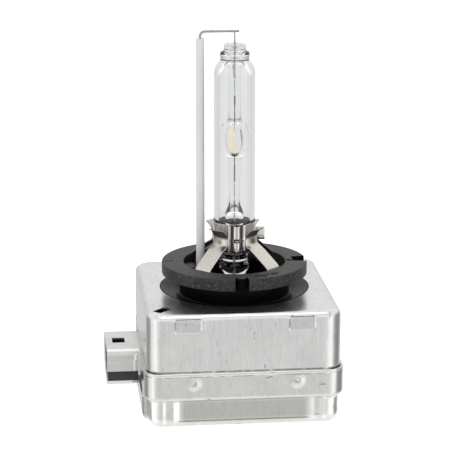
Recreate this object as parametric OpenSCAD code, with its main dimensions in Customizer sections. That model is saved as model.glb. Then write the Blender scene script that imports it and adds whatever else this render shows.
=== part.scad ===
// Xenon discharge headlight bulb with its igniter box, in millimetres.
// Z = 0 is the top face of the locating ring, the burner points along +Z,
// the connector leaves along -X.

/* [Locating ring] */
// Outside radius of the locating ring
ring_r = 16; // [15:0.1:17]
// Thickness of the locating ring
ring_t = 2.65; // [2:0.05:4]
// Radius of the opening in the locating ring
ring_hole_r = 11.2; // [10:0.1:12]
// Width of the front keyway
key_w = 2.9; // [2:0.1:4]
// Depth of the front keyway
key_d = 1.0; // [0.5:0.1:2]

/* [Burner] */
// Outside diameter of the outer quartz envelope
bulb_d = 9; // [8:0.1:10]
// Wall of the outer quartz envelope
bulb_wall = 1; // [0.6:0.1:1.5]
// Height of the light centre above the ring face
light_z = 27.1; // [25:0.1:29]
// Gap between the electrode tips
arc_gap = 4.2; // [3:0.1:5]
// Diameter of the arc tube stems
stem_d = 2.8; // [2.4:0.1:3.2]
// Diameter of the discharge chamber
chamber_d = 6.3; // [5.5:0.1:6.8]
// Diameter of the lead wires
lead_d = 0.44; // [0.3:0.02:0.8]

/* [Return path] */
// Distance of the return wire from the axis
return_x = 7.5; // [7:0.1:8]
// Height of the return wire crossing
cross_z = 50.85; // [49:0.05:52]
// Diameter of the return wire
return_d = 0.6; // [0.4:0.05:0.8]
// Outside diameter of the ceramic tube
ceramic_d = 1.88; // [1.5:0.02:2.4]

/* [Clamp] */
// Top of the clamp collar
collar_top = 9.1; // [8:0.1:10]
// Bottom of the clamp collar
collar_bottom = 3.3; // [3:0.1:4]
// Width of each support strap
leg_w = 4.1; // [3:0.1:5]
// Sheet thickness of the support straps
leg_t = 0.3; // [0.2:0.05:0.5]

/* [Igniter box] */
// Half width of the upper shell along X
box_hx = 20.85; // [19:0.05:22]
// Half depth of the upper shell along Y
box_hy = 22.2; // [19:0.05:23]
// Height of the upper shell's top face
box_top = -5.8; // [-7:0.1:-5]
// Height of the underside
box_bottom = -31; // [-33:0.1:-29]
// Radius of the vertical corners
corner_r = 4; // [3:0.1:6]
// Sheet thickness of both shells
sheet = 0.55; // [0.4:0.05:0.8]
// Height of the lower shell's lip
lip_top = -18.4; // [-20:0.1:-17]
// Lower end of the lip
lip_bottom = -24.3; // [-26:0.1:-22]

/* [Connector] */
// Mouth of the connector along X
plug_x = -28.5; // [-30:0.1:-27]
// Near side of the connector along Y
plug_y0 = -2; // [-4:0.1:0]
// Width of the connector
plug_w = 15; // [12:0.1:17]
// Top of the connector
plug_z = -19.35; // [-21:0.05:-18]
// Height of the connector
plug_h = 8.5; // [7:0.1:10]

/* [Hidden] */
$fn = 96;
eps = 0.01;
bulb_r = bulb_d / 2;
bore_r = bulb_r - bulb_wall;
stem_r = stem_d / 2;
wire_r = lead_d / 2;
return_r = return_d / 2;
seal_r = 2.03;
tip_low = light_z - arc_gap / 2;
tip_high = light_z + arc_gap / 2;
neck_r = 12.1;
dish_r = 16.4;
floor_z = -9.6;
collar_in = bulb_r + 0.02;
collar_out = collar_in + 0.3;
lip_hx = box_hx + 0.57;
lip_hy = box_hy + 0.57;
plate_top = -27.4;
plug_yc = plug_y0 + plug_w / 2;
plug_zc = plug_z - plug_h / 2;
mouth_depth = 7.9;
pin_tip = plug_x + 4.3;

// ---- helpers ----

// Box with round vertical corners; prof lists [inset, z] up the wall.
module soft_box(hx, hy, rc, prof) {
  n = len(prof);
  for (sx = [-1, 1], sy = [-1, 1])
    translate([sx * (hx - rc), sy * (hy - rc), 0])
      rotate_extrude()
        polygon(concat([[0, prof[0][1]]], [for (p = prof) [rc - p[0], p[1]]],
          [[0, prof[n - 1][1]]]));
  rotate([90, 0, 0])
    linear_extrude(height = 2 * (hy - rc), center = true)
      polygon(concat([for (p = prof) [hx - p[0], p[1]]],
        [for (i = [n - 1:-1:0]) [-(hx - prof[i][0]), prof[i][1]]]));
  rotate([90, 0, 90])
    linear_extrude(height = 2 * (hx - rc), center = true)
      polygon(concat([for (p = prof) [hy - p[0], p[1]]],
        [for (i = [n - 1:-1:0]) [-(hy - prof[i][0]), prof[i][1]]]));
}

// Rounded rectangle in the plane.
module soft_rect(w, h, r) {
  square([w - 2 * r, h], center = true);
  square([w, h - 2 * r], center = true);
  for (sx = [-1, 1], sy = [-1, 1])
    translate([sx * (w / 2 - r), sy * (h / 2 - r)]) circle(r = r);
}

// Connector cross-section swept along X from x0 to x1.
module plug_block(x0, x1, grow, r) {
  translate([x0, plug_yc, plug_zc])
    rotate([90, 0, 90])
      linear_extrude(height = x1 - x0)
        soft_rect(plug_w + 2 * grow, plug_h + 2 * grow, r);
}

module tube(r_out, r_in, z0, z1) {
  translate([0, 0, z0])
    difference() {
      cylinder(r = r_out, h = z1 - z0);
      translate([0, 0, -1]) cylinder(r = r_in, h = z1 - z0 + 2);
    }
}

// ---- base ----

module base_ring() {
  color("#3c3d40")
    difference() {
      rotate_extrude()
        polygon([[ring_hole_r, -ring_t], [ring_r - 0.25, -ring_t],
          [ring_r, -ring_t + 0.25], [ring_r, 0],
          [ring_hole_r + 0.2, 0], [ring_hole_r, -0.2]]);
      // front keyway
      translate([-key_w / 2, -ring_r - 1, -ring_t - 1])
        cube([key_w, 1 + key_d, ring_t + 2]);
      // keyway on the +X side
      translate([12.9, -1.95, -ring_t - 1]) cube([5, 3.9, ring_t + 2]);
      // index mark on the -X side
      translate([-15.4, 0.5, -0.2]) cube([1.7, 0.3, 1]);
    }
}

module leg_solid(grow, w) {
  // profile of one strap, revolved and then trimmed to its width
  intersection() {
    rotate_extrude()
      polygon([
        [10.7 - grow, -4.2 - grow], [11.0 + grow, -4.2 - grow],
        [11.0 + grow, 0.12 + grow], [5.15 + grow, 4.55 + grow],
        [5.15 + grow, 5.85], [5.28, 6.5], [5.6, 7.1], [6.15, 7.6], [7.0, 8.0],
        [6.92, 8.28], [5.98, 7.86], [5.36, 7.28], [5.02, 6.62],
        [collar_out + 0.005, 5.95],
        [collar_out + 0.005, 4.42 - grow], [10.7 - grow, 0.0]]);
    translate([0, -w / 2, -10]) cube([20, w, 30]);
  }
}

module turret_housing() {
  color("#1b1c1e")
    difference() {
      union() {
        // neck, dish and floor
        rotate_extrude()
          polygon([[2.7, floor_z], [12.9, floor_z], [12.9, -8], [dish_r, -8],
            [dish_r, -5.95], [dish_r - 0.12, -5.8], [15.6, -5.98],
            [14.2, -6.42], [12.8, -6.95], [neck_r, -7.1],
            [neck_r, -ring_t], [10.2, -ring_t], [10.2, -8.2],
            [4.6, -8.2], [4.6, -4.5], [4.2, -4.2], [2.7, -4.2]]);
        // deck below the upper shell
        difference() {
          soft_box(box_hx - 1, box_hy - 1, corner_r - 0.9,
            [[0, -8], [0, -6.75], [0.3, -6.42]]);
          translate([0, 0, -9]) cylinder(r = dish_r - 1, h = 4);
        }
        // pocket for the return wire, level with the ring
        intersection() {
          translate([-12, -2.25, floor_z]) cube([6.4, 4.5, -0.05 - floor_z]);
          translate([0, 0, floor_z]) cylinder(r = 11.12, h = 12);
        }
      }
      // seat of the ceramic tube and hole of the wire
      translate([-return_x, 0, -3.5]) cylinder(r = ceramic_d / 2 + 0.03, h = 5);
      translate([-return_x, 0, -12]) cylinder(r = return_r + 0.03, h = 12);
      for (a = [-135, -45, 45, 135]) rotate(a) leg_solid(0.04, leg_w + 0.08);
    }
}

// ---- burner ----

module outer_bulb() {
  color("#dfe6ea", 0.35)
    rotate_extrude()
      polygon([[seal_r + 0.02, -9.5], [2.65, -9.5], [2.65, -3.3], [2.8, -2.7],
        [3.15, -1.9], [3.45, -1.35], [3.6, -0.8], [3.6, 1.45], [3.7, 1.8],
        [3.95, 2.05], [4.25, 2.3], [4.42, 2.6], [bulb_r, 3.0],
        [bulb_r, 41.6], [4.44, 42.1], [4.25, 42.75], [3.95, 43.4],
        [3.55, 44.0], [3.2, 44.35], [3.15, 44.6], [3.15, 46.1],
        [3.0, 46.3], [2.65, 46.4], [2.5, 46.55], [2.5, 47.4],
        [2.38, 47.7], [2.1, 47.88], [stem_r + 0.02, 47.9],
        [stem_r + 0.02, 43.9], [1.9, 43.55], [2.7, 42.9], [3.2, 42.1],
        [bore_r, 41.2], [bore_r, 3.5], [3.3, 2.9], [2.7, 2.4],
        [seal_r + 0.02, 2.1]]);
}

module chamber_shape(r0, r1, hz, p) {
  // spindle about the light centre
  translate([0, 0, light_z])
    rotate_extrude()
      polygon(concat([[0, -hz]],
        [for (t = [-90:15:90]) [r0 + r1 * pow(max(cos(t), 0), p), hz * sin(t)]],
        [[0, hz]]));
}

module arc_tube() {
  color("#e9eef0", 0.35)
    difference() {
      union() {
        rotate_extrude()
          polygon([[0, -9.5], [seal_r, -9.5], [seal_r, 10.3], [1.98, 10.7],
            [1.8, 11.1], [1.55, 11.35], [stem_r, 11.6], [stem_r, 47.9],
            [0, 47.9]]);
        chamber_shape(0.4, chamber_d / 2 - 0.4, 4.2, 0.62);
      }
      chamber_shape(0, 1.5, 3.3, 0.75);
      translate([0, 0, 17.8]) cylinder(r = 0.2, h = 7);
      translate([0, 0, 29.5]) cylinder(r = 0.2, h = 7.6);
      // hollow foot of the tube round the lower lead
      translate([0, 0, 2.2]) cylinder(r = 1.45, h = 7.3);
      translate([0, 0, 9.49]) cylinder(r1 = 1.45, r2 = 0.8, h = 0.75);
      translate([-0.07, -0.86, 13.79]) cube([0.14, 1.72, 4.12]);
      translate([-0.07, -0.86, 36.99]) cube([0.14, 1.72, 4.02]);
      translate([0, 0, -10]) cylinder(r = wire_r + 0.01, h = 23.8);
      translate([0, 0, 41]) cylinder(r = wire_r + 0.01, h = 8);
    }
}

module lower_electrode() {
  color("#6d6f72")
    translate([0, 0, 17.9]) cylinder(r = 0.18, h = tip_low - 17.9, $fn = 32);
}

module upper_electrode() {
  color("#6d6f72")
    translate([0, 0, tip_high]) cylinder(r = 0.18, h = 37 - tip_high, $fn = 32);
}

module lower_foil() {
  color("#8a8f94") translate([-0.06, -0.85, 13.8]) cube([0.12, 1.7, 4.1]);
}

module upper_foil() {
  color("#8a8f94") translate([-0.06, -0.85, 37]) cube([0.12, 1.7, 4]);
}

module lower_lead() {
  color("#9a9ea2")
    translate([0, 0, -13]) cylinder(r = wire_r, h = 26.8, $fn = 32);
}

module upper_lead() {
  color("#9a9ea2")
    translate([0, 0, 41])
      cylinder(r = wire_r, h = cross_z - return_r - 41, $fn = 32);
}

module salt_pool() {
  // dried salts lying in the lower end of the chamber
  color("#d9b640")
    difference() {
      intersection() {
        chamber_shape(0, 1.48, 3.28, 0.75);
        translate([-2, -2, 20]) cube([4, 4, 4.55]);
      }
      translate([0, 0, 20]) cylinder(r = 0.22, h = 7);
    }
}

// ---- return path and clamp ----

module return_wire() {
  bend = 0.75;
  color("#a7abae") {
    translate([-return_x, 0, -12.4])
      cylinder(r = return_r, h = 12.4 + cross_z - bend, $fn = 32);
    translate([-return_x + bend, 0, cross_z - bend])
      rotate([90, 0, 0])
        rotate([0, 0, 90])
          rotate_extrude(angle = 90)
            translate([bend, 0]) circle(r = return_r, $fn = 32);
    translate([-return_x + bend, 0, cross_z])
      rotate([0, 90, 0])
        cylinder(r = return_r, h = return_x - bend + 0.95, $fn = 32);
  }
}

module ceramic_tube() {
  color("#e9e8e4")
    translate([-return_x, 0, 0]) tube(ceramic_d / 2, return_r + 0.06, -3.48, 49.4);
}

module clamp_collar() {
  color("#b9b4aa")
    difference() {
      union() {
        tube(collar_out, collar_in, collar_bottom, collar_top);
        // pressed bead at the front, split at mid height
        translate([0, -collar_out + 0.05, 2.8])
          cylinder(r = 0.75, h = 6.0, $fn = 48);
        // flat ear where the two ends of the band are welded
        translate([collar_out - 0.15, -0.3, 4.6]) cube([1.95, 0.6, 2.9]);
      }
      translate([0, 0, 0]) cylinder(r = collar_in, h = 12);
      translate([-1.0, -6, 5.2]) cube([2, 1.42, 0.85]);
      for (s = [-1, 1])
        translate([s * 1.15, -collar_out - 0.12, 0])
          cylinder(r = 0.25, h = 12, $fn = 32);
    }
}

module leg(a) { rotate(a) leg_solid(0, leg_w); }
module leg_front_left() { color("#c9c3b8") leg(-135); }
module leg_front_right() { color("#c9c3b8") leg(-45); }
module leg_rear_left() { color("#c9c3b8") leg(135); }
module leg_rear_right() { color("#c9c3b8") leg(45); }

// ---- igniter box ----

module top_shell() {
  color("#c8c9ca")
    difference() {
      soft_box(box_hx, box_hy, corner_r,
        [[0, -21], [0, box_top - 1.15], [0.15, box_top - 0.6],
         [0.55, box_top - 0.18], [1.15, box_top]]);
      soft_box(box_hx - sheet, box_hy - sheet, corner_r - sheet,
        [[0, -22], [0, box_top - 1.2], [0.2, box_top - 0.85], [0.6, box_top - sheet]]);
      translate([0, 0, -9]) cylinder(r = dish_r + 0.08, h = 6);
      // lanced windows in the front and rear walls
      for (s = [-1, 1], x = [-12.1, 12.1]) {
        translate([x - 2.8, s * (box_hy - 0.15) - 0.15, -9.5]) cube([5.6, 0.3, 2.95]);
        translate([x - 2.6, s * (box_hy - 0.4) - 0.6, -6.95]) cube([5.2, 1.2, 0.25]);
      }
      // slot in the top face near the front left corner
      translate([-17.25, -17.3, -8]) rotate(45) translate([-1.85, -1.1, 0]) cube([3.7, 2.2, 4]);
      // slot in the left wall
      translate([-box_hx - 1, 16.4, -20.2]) cube([2, 2.6, 2.6]);
      // way out for the connector
      translate([-box_hx - 1, plug_y0 - 0.12, -23])
        cube([3, plug_w + 0.24, 23 + plug_z + 0.12]);
    }
}

module bottom_shell() {
  color("#c3c4c4")
    difference() {
      soft_box(lip_hx, lip_hy, corner_r + 0.57,
        [[3.1, box_bottom], [2.2, box_bottom + 0.25], [1.5, box_bottom + 0.85],
         [1.15, box_bottom + 1.6], [1.05, box_bottom + 2.3],
         [1.05, lip_bottom - 0.85], [0.8, lip_bottom - 0.45],
         [0.3, lip_bottom - 0.1], [0, lip_bottom + 0.4],
         [0, lip_top - 0.15], [0.12, lip_top]]);
      difference() {
        union() {
          soft_box(box_hx + 0.02, box_hy + 0.02, corner_r + 0.02,
            [[0, lip_bottom + 0.3], [0, lip_top + 1]]);
          soft_box(lip_hx - 1.05 - sheet, lip_hy - 1.05 - sheet, corner_r - 1.0,
            [[2.1, box_bottom + sheet], [1.3, box_bottom + sheet + 0.3],
             [0.5, box_bottom + 1.2], [0, box_bottom + 2.3], [0, -22]]);
        }
        for (s = [0, 180])
          rotate(s) translate([0, -lip_hy, box_bottom])
            linear_extrude(height = lip_bottom - box_bottom - 0.4)
              polygon([[-15.9, 0], [-15.3, 1.7], [-13.3, 2.55], [13.3, 2.55],
                [15.3, 1.7], [15.9, 0]]);
      }
      // recessed panels, front and rear
      for (s = [0, 180])
        rotate(s) translate([0, -lip_hy, box_bottom - 1])
          linear_extrude(height = lip_bottom - box_bottom - 0.1)
            polygon([[-16, -1], [-15.2, 1.05], [-14.2, 1.35], [-13.2, 1.95],
              [13.2, 1.95], [14.2, 1.35], [15.2, 1.05], [16, -1]]);
      // staking dimples
      for (s = [-1, 1], x = [-11.06, 11.06])
        translate([x, s * lip_hy, -20.6])
          rotate([90, 0, 0])
            rotate_extrude($fn = 48)
              polygon([[0, -0.3], [0.55, -0.3], [0.75, -0.12], [0.95, 0.3],
                [0, 0.3]]);
      // way out for the connector
      translate([-lip_hx - 1, plug_y0 - 0.12, plug_z - plug_h - 0.12])
        cube([4, plug_w + 0.24, 12]);
    }
}

// ---- connector ----

module connector_shroud() {
  color("#b4b5b4")
    difference() {
      union() {
        plug_block(plug_x, -19.4, 0, 1.2);
        // folded collar against the wall
        translate([-lip_hx - 0.42, plug_y0 - 1.1, plug_z - 5.0])
          cube([0.4, 1.2, 4.6]);
      }
      plug_block(plug_x - 1, -18, -0.5, 0.7);
      // slot in the top
      translate([-27, plug_yc - 2.3, plug_z - 2]) cube([2.8, 3.4, 3]);
      // open band along the near side
      translate([plug_x - 1, plug_y0 - 1, -26.6]) cube([8.0, 1.6, 2.2]);
    }
}

module connector_insert() {
  color("#202224")
    difference() {
      union() {
        plug_block(plug_x + 0.35, -18.6, -0.52, 0.68);
        // flange inside the box
        translate([-18.6, plug_y0 + 0.4, plug_z - plug_h + 0.45])
          cube([1.2, plug_w - 0.8, plug_h - 0.9]);
      }
      translate([plug_x - 1, plug_y0 + 1.5, plug_z - plug_h + 1.5])
        cube([mouth_depth + 1, plug_w - 3, plug_h - 3]);
      for (i = [0:3])
        translate([-23, plug_yc - 4.5 + 3 * i - 0.42, plug_zc - 0.42])
          cube([8, 0.84, 0.84]);
      for (y = [plug_y0 + 4, plug_y0 + plug_w - 4])
        translate([plug_x - 1, y - 0.5, plug_z - plug_h + 1]) cube([6, 1, 0.8]);
    }
}

module contact_pins() {
  color("#c9a24a")
    for (i = [0:3])
      translate([pin_tip, plug_yc - 4.5 + 3 * i - 0.4, plug_zc - 0.4]) {
        cube([-16.6 - pin_tip, 0.8, 0.8]);
        translate([-17.4 - pin_tip, 0, -3.55]) cube([0.8, 0.8, 3.6]);
      }
}

// ---- igniter ----

module hv_terminal() {
  color("#c7a04c") {
    tube(1.1, wire_r + 0.02, -14, floor_z - 0.02);
    translate([0.9, -1.5, -14]) cube([5.1, 3, 0.4]);
  }
}

module return_terminal() {
  color("#c7a04c")
    translate([-return_x, 0, 0]) {
      tube(0.9, return_r + 0.02, -13, floor_z - 0.02);
      difference() {
        translate([-0.6, 0.7, -27]) cube([1.2, 0.4, 17.2]);
        cylinder(r = return_r + 0.1, h = 1);
      }
    }
}

module carrier_plate() {
  color("#2a2d2a") {
    difference() {
      translate([-18.8, -19.4, plate_top - 1.2]) cube([37.6, 38.8, 1.2]);
      for (x = [-16, 16], y = [-16, 16])
        translate([x, y, plate_top - 2]) cylinder(r = 0.6, h = 4, $fn = 32);
    }
    for (x = [-14, 14], y = [-13, 13])
      translate([x, y, box_bottom + sheet + 0.01])
        cylinder(r = 1.4, h = plate_top - 1 - box_bottom - sheet, $fn = 48);
    for (y = [-15.4, 13.8])
      difference() {
        translate([8.2, y, plate_top - 0.2]) cube([7.6, 1.6, 6.1]);
        translate([12, y - 1, -18.4]) rotate([-90, 0, 0]) cylinder(r = 3.2, h = 4);
      }
  }
}

module lead_frame() {
  color("#c9a24a") {
    for (i = [0:3])
      translate([-17.4, plug_yc - 4.5 + 3 * i - 0.4, plate_top])
        cube([i == 0 ? 8.6 : 3.4, 0.8, 0.35]);
    translate([-15.2, -11, plate_top]) cube([1.2, 12.0, 0.35]);
    translate([-15.2, -11, plate_top]) cube([5.5, 1.2, 0.35]);
    translate([0.6, -11, plate_top]) cube([6, 1.2, 0.35]);
  }
}

module transformer_core() {
  color("#3a3b3d")
    translate([12, -16, -18.4]) rotate([-90, 0, 0]) cylinder(r = 3, h = 32);
}

module along_core() {
  translate([12, 0, -18.4]) rotate([-90, 0, 0]) children();
}

module transformer_bobbin() {
  color("#d8d2c0")
    along_core()
      difference() {
        union() {
          translate([0, 0, -13]) cylinder(r = 4, h = 26);
          for (i = [0:5]) translate([0, 0, -13 + 5 * i]) cylinder(r = 6.3, h = 1);
        }
        translate([0, 0, -14]) cylinder(r = 3.03, h = 28);
      }
}

module secondary_winding() {
  color("#b3622e")
    along_core()
      for (i = [0:4]) tube(5.9, 4.02, -11.98 + 5 * i, -8.02 + 5 * i);
}

module primary_winding() {
  color("#c07a3c")
    along_core()
      for (i = [0:4])
        difference() {
          tube(6.75, 6.35, -11.5 + 5 * i, -8.7 + 5 * i);
          translate([-0.6, 4, -13]) cube([1.2, 4, 26]);
        }
}

module spark_gap_body() {
  color("#e6e3dc")
    translate([-9.6, -10.4, plate_top + 4.4])
      rotate([0, 90, 0]) cylinder(r = 3.8, h = 7);
}

module spark_gap_caps() {
  color("#b8babb")
    for (x = [-11.0, -2.58])
      translate([x, -10.4, plate_top + 4.4])
        rotate([0, 90, 0]) cylinder(r = 4.02, h = 1.38);
}

module pulse_capacitor() {
  color("#a43a2c")
    difference() {
      translate([-13, 3.2, plate_top + 0.37]) cube([15, 15, 9.5]);
      translate([-return_x - 1, 2, plate_top - 1]) cube([2, 2.2, 12]);
    }
}

module bleeder_resistor() {
  color("#c9b48a") {
    translate([2.2, -4, plate_top + 1.6]) rotate([-90, 0, 0]) cylinder(r = 1.2, h = 5.6, $fn = 48);
    for (y = [-6.5, 1.58])
      translate([2.2, y, plate_top + 1.6])
        rotate([-90, 0, 0]) cylinder(r = 0.3, h = 2.52, $fn = 32);
    translate([2.2, -6.5, plate_top + 0.02]) cylinder(r = 0.3, h = 1.7, $fn = 32);
    translate([2.2, 4.0, plate_top + 0.02]) cylinder(r = 0.3, h = 1.7, $fn = 32);
  }
}

base_ring();
turret_housing();
top_shell();
bottom_shell();
connector_shroud();
connector_insert();
contact_pins();
outer_bulb();
arc_tube();
lower_electrode();
upper_electrode();
lower_foil();
upper_foil();
lower_lead();
upper_lead();
salt_pool();
return_wire();
ceramic_tube();
clamp_collar();
leg_front_left();
leg_front_right();
leg_rear_left();
leg_rear_right();
hv_terminal();
return_terminal();
carrier_plate();
lead_frame();
transformer_core();
transformer_bobbin();
secondary_winding();
primary_winding();
spark_gap_body();
spark_gap_caps();
pulse_capacitor();
bleeder_resistor();
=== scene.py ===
from math import atan2, cos, degrees, exp, hypot, pi, radians, sin, sqrt

import bmesh
import bpy
from mathutils import Matrix, Vector, noise


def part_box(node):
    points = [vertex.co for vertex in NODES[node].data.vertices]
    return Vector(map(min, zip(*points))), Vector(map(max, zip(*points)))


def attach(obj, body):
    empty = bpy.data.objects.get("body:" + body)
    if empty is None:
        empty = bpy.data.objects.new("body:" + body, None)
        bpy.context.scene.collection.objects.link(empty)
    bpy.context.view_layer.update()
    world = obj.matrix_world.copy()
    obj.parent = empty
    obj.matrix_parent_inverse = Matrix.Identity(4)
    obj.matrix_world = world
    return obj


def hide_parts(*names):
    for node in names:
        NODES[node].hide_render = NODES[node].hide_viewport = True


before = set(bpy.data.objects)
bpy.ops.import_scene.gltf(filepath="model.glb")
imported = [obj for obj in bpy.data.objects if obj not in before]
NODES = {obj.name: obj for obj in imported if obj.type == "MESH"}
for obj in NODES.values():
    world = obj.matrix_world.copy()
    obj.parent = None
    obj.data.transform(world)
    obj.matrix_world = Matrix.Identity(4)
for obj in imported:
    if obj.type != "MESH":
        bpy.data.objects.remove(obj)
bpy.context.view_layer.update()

MM = 0.001
scene = bpy.context.scene
scene.view_settings.view_transform = "Standard"


def size(node):
    """Lowest and highest corner of a CAD node, in millimetres."""
    low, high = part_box(node)
    return low / MM, high / MM


def put(name, data):
    """A new object in the scene."""
    ob = bpy.data.objects.new(name, data)
    scene.collection.objects.link(ob)
    return ob


# -------- camera
CAM_AZ, CAM_EL, CAM_ROLL = radians(-5.989), radians(14.246), radians(0.075)
CAM_DISTANCE, CAM_SIDE, CAM_HEIGHT = 407.88, -2.165, 10.0
back = Vector((sin(CAM_AZ) * cos(CAM_EL), -cos(CAM_AZ) * cos(CAM_EL), sin(CAM_EL)))
right = Vector((cos(CAM_AZ), sin(CAM_AZ), 0))
up = back.cross(right)
turned_right = cos(CAM_ROLL) * right + sin(CAM_ROLL) * up
turned_up = cos(CAM_ROLL) * up - sin(CAM_ROLL) * right
spot = (Vector((0, 0, CAM_HEIGHT)) + right * CAM_SIDE + back * CAM_DISTANCE) * MM
camera_data = bpy.data.cameras.new("camera")
camera_data.lens, camera_data.sensor_width = 148.69, 36
camera_data.shift_x, camera_data.shift_y = 0.00106, -0.02015
camera_data.clip_start, camera_data.clip_end = 0.01, 10
camera = put("camera", camera_data)
camera.matrix_world = Matrix.Translation(spot) @ Matrix(
    (turned_right, turned_up, back)).transposed().to_4x4()
scene.camera = camera


# -------- materials
class Sock:
    """A node's output that takes plain arithmetic, one Math node for each operation."""

    def __init__(self, nt, out):
        self.nt, self.out = nt, out

    def calc(self, op, a, b=0.0):
        return add_node(self.nt, "Math", {0: a, 1: b}, operation=op)

    def __add__(self, other):
        return self.calc("ADD", self, other)

    def __sub__(self, other):
        return self.calc("SUBTRACT", self, other)

    def __rsub__(self, other):
        return self.calc("SUBTRACT", other, self)

    def __mul__(self, other):
        return self.calc("MULTIPLY", self, other)

    def __truediv__(self, other):
        return self.calc("DIVIDE", self, other)

    def __abs__(self):
        return self.calc("ABSOLUTE", self)


def colour_of(value):
    """A number as a grey, or a colour, with full alpha."""
    return (*((value,) * 3 if isinstance(value, (int, float)) else value), 1)


def feed(socket, value):
    """Links a socket to a Sock, or sets it to a number, colour or vector."""
    if isinstance(value, Sock):
        value.nt.links.new(value.out, socket)
    elif isinstance(socket.default_value, float):
        socket.default_value = value
    else:
        socket.default_value = colour_of(value)[:len(socket.default_value)]


def add_node(nt, kind, inputs=(), out=0, **settings):
    n = nt.nodes.new("ShaderNode" + kind)
    for key, value in settings.items():
        setattr(n, key, value)
    for key, value in dict(inputs).items():
        feed(n.inputs[key], value)
    return Sock(nt, n.outputs[out])


def noise_tex(nt, scale, detail=4, rough=0.55, distortion=0.0):
    """Noise in object space; scale is per metre, for all axes or for each."""
    at = add_node(nt, "TexCoord", out="Object")
    at = add_node(nt, "Mapping", {"Scale": scale, "Vector": at})
    return add_node(nt, "TexNoise", {"Scale": 1, "Detail": detail, "Roughness": rough,
                                     "Distortion": distortion, "Vector": at}, "Fac")


def ramp(source, *stops):
    """A colour ramp; each stop is a position and a number or colour."""
    r = source.nt.nodes.new("ShaderNodeValToRGB")
    elements = r.color_ramp.elements
    while len(elements) < len(stops):
        elements.new(1)
    for e, (at, value) in zip(elements, stops):
        e.position = at
        e.color = colour_of(value)
    feed(r.inputs[0], source)
    return Sock(source.nt, r.outputs[0])


def mix(fac, a, b):
    nt = next(v.nt for v in (fac, a, b) if isinstance(v, Sock))
    return add_node(nt, "Mix", {0: fac, 6: a, 7: b}, 2, data_type="RGBA")


def shader(mat):
    return next(n for n in mat.node_tree.nodes if n.type == "BSDF_PRINCIPLED")


def dress(mat, **values):
    """Sets or links the shader's sockets, named with _ for each space."""
    for key, value in values.items():
        feed(shader(mat).inputs[key.replace("_", " ")], value)


def source_of(mat, name):
    """What is linked to one of the shader's sockets."""
    return Sock(mat.node_tree, shader(mat).inputs[name].links[0].from_socket)


def material(name, **values):
    m = bpy.data.materials.new(name)
    m.use_nodes = True
    dress(m, **values)
    return m, m.node_tree


def bump(mat, height, strength, distance):
    dress(mat, Normal=add_node(height.nt, "Bump", {"Strength": strength, "Distance": distance,
                                                   "Height": height}))


def metal(name, dark, light, rough, grain, strength=0.25, spread=0.12, scratch=None):
    """Metal sheet with a directional grain, uneven sheen and faint handling marks."""
    m, nt = material(name, Metallic=1)
    fine = noise_tex(nt, grain, 5, 0.7)
    broad = noise_tex(nt, tuple(g * 0.27 for g in grain), 3, 0.5)
    cloud = noise_tex(nt, 190, 4, 0.6)
    both = fine * 0.7 + broad * 0.3
    colour = ramp(both * 0.75 + cloud * 0.25, (0.34, dark), (0.66, light))
    if scratch:
        mark = ramp(noise_tex(nt, scratch, 2, 0.4), (0.70, 0.0), (0.73, 1.0))
        colour = mix(mark * 0.5, colour, (0.16, 0.155, 0.15))
    dress(m, Base_Color=colour,
          Roughness=both * spread + (rough - spread / 2) + cloud * (spread * 0.6))
    bump(m, both, strength, 0.00003)
    return m


def tinted(mat, mask, colour, amount):
    """Mixes a colour into a material's base colour where the mask is high."""
    dress(mat, Base_Color=mix(mask * amount, source_of(mat, "Base Color"), colour))


def dull_shaded(mat, mask):
    """Makes the masked part of a metal a dull non-metal, where shade is painted."""
    rough = source_of(mat, "Roughness")
    dress(mat, Metallic=1.0 - mask, Roughness=rough.calc("MAXIMUM", rough, mask * 0.55))


def dulled(mat, mask, level):
    """Takes the surface shine of a plastic away where the mask is 1."""
    dress(mat, Specular_IOR_Level=(1.0 - mask) * level)


def grit(mat, amount):
    """Fine noise round zero, to roughen a mask's edge."""
    return (noise_tex(mat.node_tree, 2400, 3) - 0.5) * amount


def point_mask(mat, name, low, high, rough=0.0):
    """Mask from a value stored on the points."""
    value = add_node(mat.node_tree, "Attribute", out="Fac", attribute_name=name)
    if rough:
        value = value + grit(mat, rough)
    return ramp(value, (low, 0.0), (high, 1.0))


def moulded(name, dark, light, rough, grain, strength, specks=0.0, spread=0.15, shine=0.5):
    """Moulded plastic: fine grain, uneven tone, optional pale fibre specks."""
    m, nt = material(name, Specular_IOR_Level=shine)
    fine = noise_tex(nt, grain, 5, 0.65)
    cloud = noise_tex(nt, grain * 0.07, 3, 0.55, 0.4)
    tone = fine * 0.45 + cloud * 0.55
    colour = ramp(tone, (0.3, dark), (0.7, light))
    if specks:
        fibre = ramp(noise_tex(nt, grain * 1.1, 1), (0.66, 0.0), (0.73, 1.0))
        colour = mix(fibre * specks, colour, (0.42, 0.41, 0.38))
    dress(m, Base_Color=colour, Roughness=tone * spread + (rough - spread / 2))
    bump(m, fine, strength, 0.00006)
    return m


def quartz(name):
    """Clear fused quartz with faint drawing lines."""
    m, nt = material(name, Transmission_Weight=1, IOR=1.458, Roughness=0.0)
    dress(m, Base_Color=ramp(noise_tex(nt, (900, 900, 25), 3), (0.3, (0.985, 0.99, 0.99)),
                             (0.7, (0.995, 0.998, 1.0))))
    bump(m, noise_tex(nt, (260, 260, 60), 2), 0.10, 0.00004)
    return m


def sintered(name, dark, light):
    """Fired ceramic, with a little depth under its surface."""
    m, nt = material(name, Subsurface_Weight=0.15, Subsurface_Radius=(0.0006, 0.0005, 0.0004))
    fine = noise_tex(nt, 3200, 4, 0.6)
    cloud = noise_tex(nt, (180, 180, 60), 3, 0.5)
    dress(m, Base_Color=ramp(fine * 0.3 + cloud * 0.7, (0.3, dark), (0.7, light)),
          Roughness=fine * 0.15 + 0.36)
    bump(m, fine, 0.15, 0.00004)
    return m


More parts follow.
